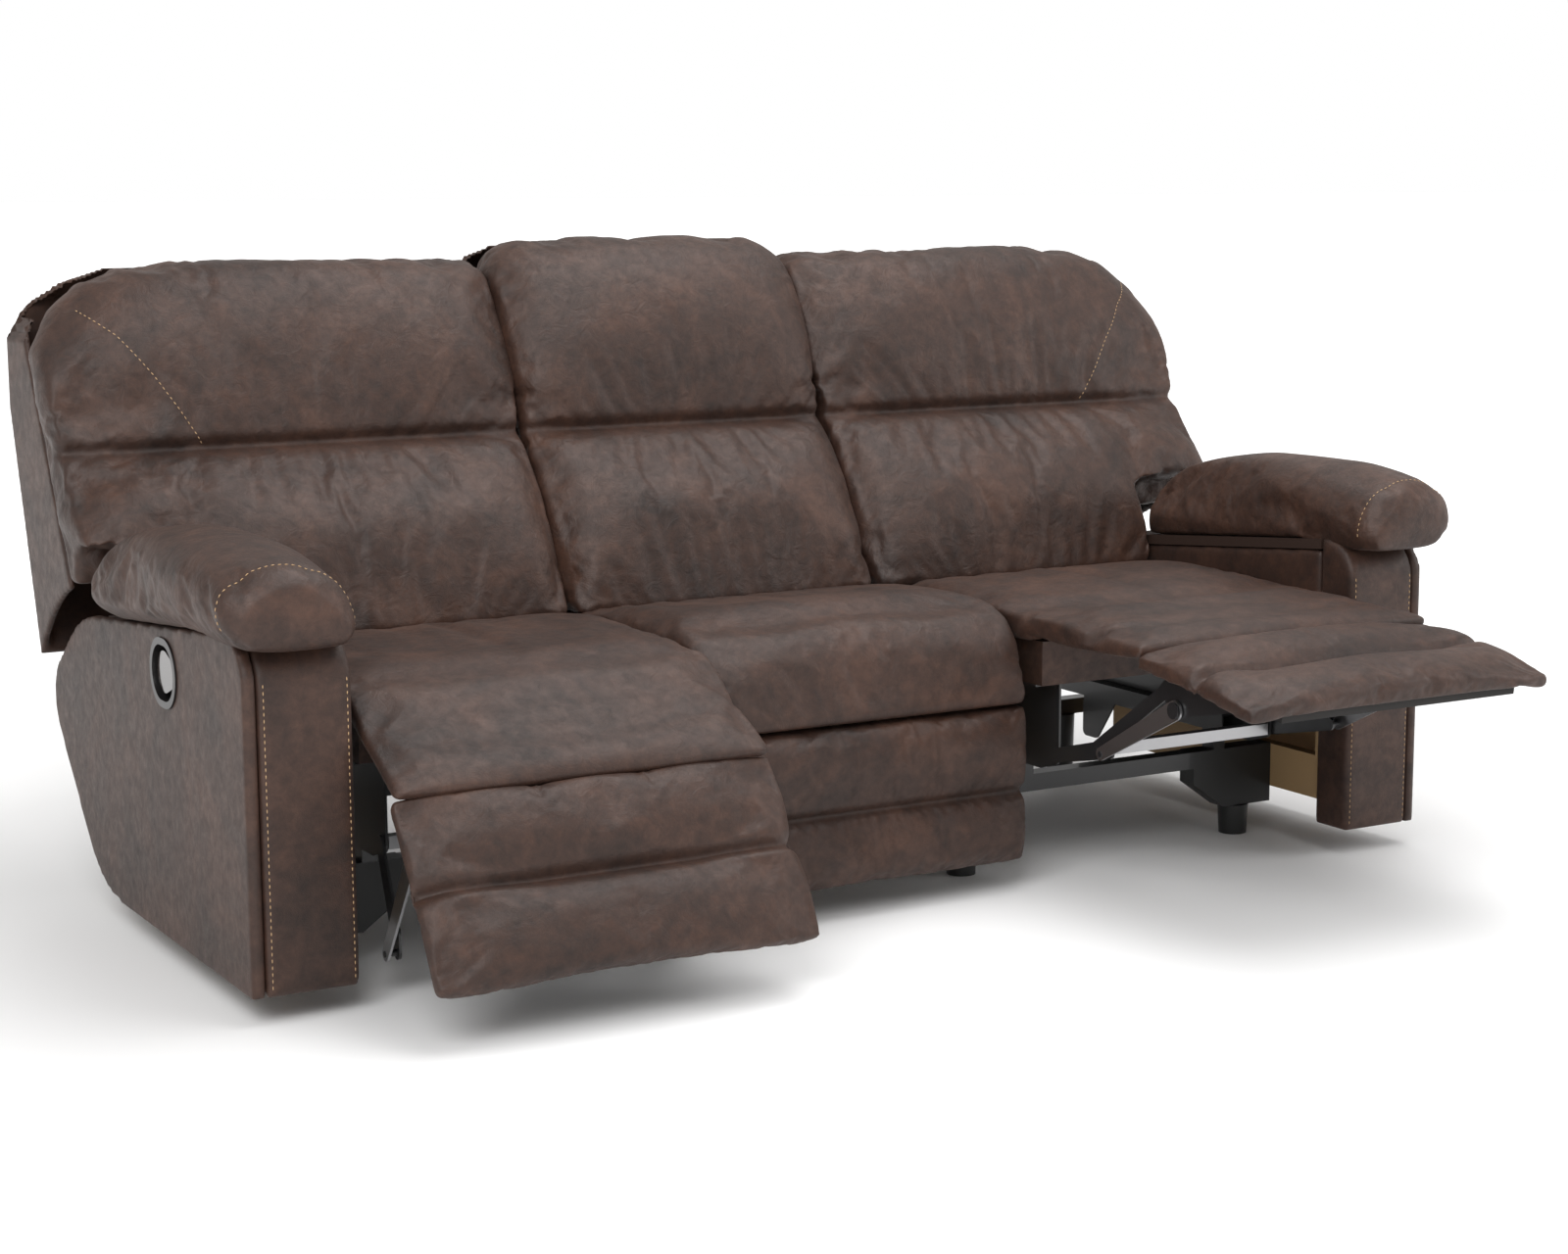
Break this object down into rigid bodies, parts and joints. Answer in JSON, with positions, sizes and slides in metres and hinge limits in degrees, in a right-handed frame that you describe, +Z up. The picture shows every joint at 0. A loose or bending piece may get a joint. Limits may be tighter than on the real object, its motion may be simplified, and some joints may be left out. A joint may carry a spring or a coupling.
{
  "type": "reclining sofa",
  "caption": "Leather-covered reclining sofa with separate seats, padded arms, hinged back sections and folding footrests on a steel linkage, one raised and one partly raised.",
  "frame": {"origin": "Floor level, under the middle of the bounding box as stored: left footrest partly raised, right footrest fully raised.", "axes": "+X to the right as seen by someone facing the sofa, along its length; +Y from the footrests towards the back; +Z up."},
  "size_m": [2.266, 1.5848, 1.0841],
  "materials": {
    "leather_cover": "soft satin, pebbled",
    "frame_wood": "plain plywood",
    "black_steel": "black enamel",
    "zinc_steel": "zinc plated",
    "black_plastic": "satin black",
    "handle_gloss": "gloss dark brown",
    "webbing_fabric": "woven elastic"
  },
  "bodies": {
    "sofa_base": {"feet": "black_plastic", "front_corner_blocks": "black_plastic", "front_cross_rail": "black_steel", "left_arm_frame": "frame_wood", "left_arm_front_panel": "leather_cover", "left_arm_inner_panel": "leather_cover", "left_arm_outer_panel": "leather_cover", "left_arm_pad": "leather_cover", "left_handle_cup": "black_plastic", "middle_back_cushion": "leather_cover", "middle_back_frame": "frame_wood", "middle_back_shell": "leather_cover", "middle_front_rolls": "leather_cover", "middle_seat_cushion": "leather_cover", "middle_seat_frame": "frame_wood", "middle_seat_webbing": "webbing_fabric", "rear_cross_rail": "black_steel", "right_arm_frame": "frame_wood", "right_arm_front_panel": "leather_cover", "right_arm_inner_panel": "leather_cover", "right_arm_outer_panel": "leather_cover", "right_arm_pad": "leather_cover", "right_handle_cup": "black_plastic", "slide_tracks": "black_steel"},
    "left_seat": {"left_seat_frame": "frame_wood", "left_seat_webbing": "webbing_fabric", "left_seat_cushion": "leather_cover", "left_side_plates": "black_steel", "left_flap_gusset": "leather_cover"},
    "left_back": {"left_back_frame": "frame_wood", "left_back_cushion": "leather_cover", "left_back_shell": "leather_cover", "left_back_brackets": "black_steel"},
    "left_lift": {"left_rear_links": "black_steel", "left_drive_tube": "zinc_steel"},
    "left_legs": {"left_front_links": "black_steel"},
    "left_control": {"left_front_controls": "zinc_steel"},
    "left_footrest": {"left_footrest_brackets": "black_steel", "left_footrest_board": "frame_wood", "left_footrest_pad": "leather_cover"},
    "left_flap": {"left_seat_flap": "leather_cover"},
    "left_handle": {"left_handle_paddle": "handle_gloss"},
    "right_seat": {"right_seat_frame": "frame_wood", "right_seat_webbing": "webbing_fabric", "right_seat_cushion": "leather_cover", "right_side_plates": "black_steel", "right_flap_gusset": "leather_cover"},
    "right_back": {"right_back_frame": "frame_wood", "right_back_cushion": "leather_cover", "right_back_shell": "leather_cover", "right_back_brackets": "black_steel"},
    "right_lift": {"right_rear_links": "black_steel", "right_drive_tube": "zinc_steel"},
    "right_legs": {"right_front_links": "black_steel"},
    "right_control": {"right_front_controls": "zinc_steel"},
    "right_footrest": {"right_footrest_brackets": "black_steel", "right_footrest_board": "frame_wood", "right_footrest_pad": "leather_cover"},
    "right_flap": {"right_seat_flap": "leather_cover"},
    "right_handle": {"right_handle_paddle": "handle_gloss"}
  },
  "joints": [
    {"name": "left_seat_slide", "type": "slide", "parent": "sofa_base", "child": "left_seat", "axis": [0, -1, 0], "range_m": [0, 0.0403]},
    {"name": "left_back_recline", "type": "hinge", "parent": "left_seat", "child": "left_back", "pos_m": [-0.605, 0.3346, 0.13], "axis": [-1, 0, 0], "range_deg": [0, 20.1]},
    {"name": "left_footrest_lift", "type": "hinge", "parent": "left_seat", "child": "left_lift", "pos_m": [-0.605, -0.1874, 0.217], "axis": [1, 0, 0], "range_deg": [-80.78, 55.22]},
    {"name": "left_knee", "type": "hinge", "parent": "left_lift", "child": "left_legs", "pos_m": [-0.605, -0.24277, 0.09388], "axis": [1, 0, 0], "range_deg": [-71.86, 105.04]},
    {"name": "left_footrest_tilt", "type": "hinge", "parent": "left_legs", "child": "left_footrest", "pos_m": [-0.605, -0.36223, 0.28925], "axis": [1, 0, 0], "range_deg": [-72.67, 49.73]},
    {"name": "left_control_swing", "type": "hinge", "parent": "left_lift", "child": "left_control", "pos_m": [-0.605, -0.24577, 0.06431], "axis": [1, 0, 0], "range_deg": [-73.91, 108.05]},
    {"name": "left_flap_fold", "type": "hinge", "parent": "left_seat", "child": "left_flap", "pos_m": [-0.605, -0.3082, 0.5419], "axis": [1, 0, 0], "range_deg": [-48.91, 33.49], "deforming": ["left_seat_flap", "left_flap_gusset"]},
    {"name": "left_release_handle", "type": "hinge", "parent": "sofa_base", "child": "left_handle", "pos_m": [-1.074, 0.0221, 0.457], "axis": [0, 0, 1], "range_deg": [0, 35], "stiffness_Nm_per_rad": 0.4},
    {"name": "right_seat_slide", "type": "slide", "parent": "sofa_base", "child": "right_seat", "axis": [0, -1, 0], "range_m": [0, 0.0403]},
    {"name": "right_back_recline", "type": "hinge", "parent": "right_seat", "child": "right_back", "pos_m": [0.605, 0.3346, 0.13], "axis": [-1, 0, 0], "range_deg": [0, 20.1]},
    {"name": "right_footrest_lift", "type": "hinge", "parent": "right_seat", "child": "right_lift", "pos_m": [0.605, -0.1874, 0.217], "axis": [1, 0, 0], "range_deg": [0, 136]},
    {"name": "right_knee", "type": "hinge", "parent": "right_lift", "child": "right_legs", "pos_m": [0.605, -0.3178, 0.25194], "axis": [1, 0, 0], "range_deg": [-176.7, 0]},
    {"name": "right_footrest_tilt", "type": "hinge", "parent": "right_legs", "child": "right_footrest", "pos_m": [0.605, -0.50652, 0.38165], "axis": [1, 0, 0], "range_deg": [0, 122.2]},
    {"name": "right_control_swing", "type": "hinge", "parent": "right_lift", "child": "right_control", "pos_m": [0.605, -0.34747, 0.25016], "axis": [1, 0, 0], "range_deg": [-183.39, 0]},
    {"name": "right_flap_fold", "type": "hinge", "parent": "right_seat", "child": "right_flap", "pos_m": [0.605, -0.3082, 0.5419], "axis": [1, 0, 0], "range_deg": [0, 82.2], "deforming": ["right_seat_flap", "right_flap_gusset"]},
    {"name": "right_release_handle", "type": "hinge", "parent": "sofa_base", "child": "right_handle", "pos_m": [1.074, 0.0221, 0.457], "axis": [0, 0, -1], "range_deg": [0, 35], "stiffness_Nm_per_rad": 0.4}
  ],
  "couplings": [
    {"joint": "left_seat_slide", "follows": "left_back_recline", "m_per_rad": 0.114},
    {"joint": "left_knee", "follows": "left_footrest_lift", "ratio": -1.2978},
    {"joint": "left_footrest_tilt", "follows": "left_footrest_lift", "ratio": 0.89706},
    {"joint": "left_control_swing", "follows": "left_footrest_lift", "ratio": -1.335},
    {"joint": "left_flap_fold", "follows": "left_footrest_lift", "ratio": 0.60294},
    {"joint": "right_seat_slide", "follows": "right_back_recline", "m_per_rad": 0.114},
    {"joint": "right_knee", "follows": "right_footrest_lift", "ratio": -1.2978},
    {"joint": "right_footrest_tilt", "follows": "right_footrest_lift", "ratio": 0.89706},
    {"joint": "right_control_swing", "follows": "right_footrest_lift", "ratio": -1.347},
    {"joint": "right_flap_fold", "follows": "right_footrest_lift", "ratio": 0.60294}
  ]
}
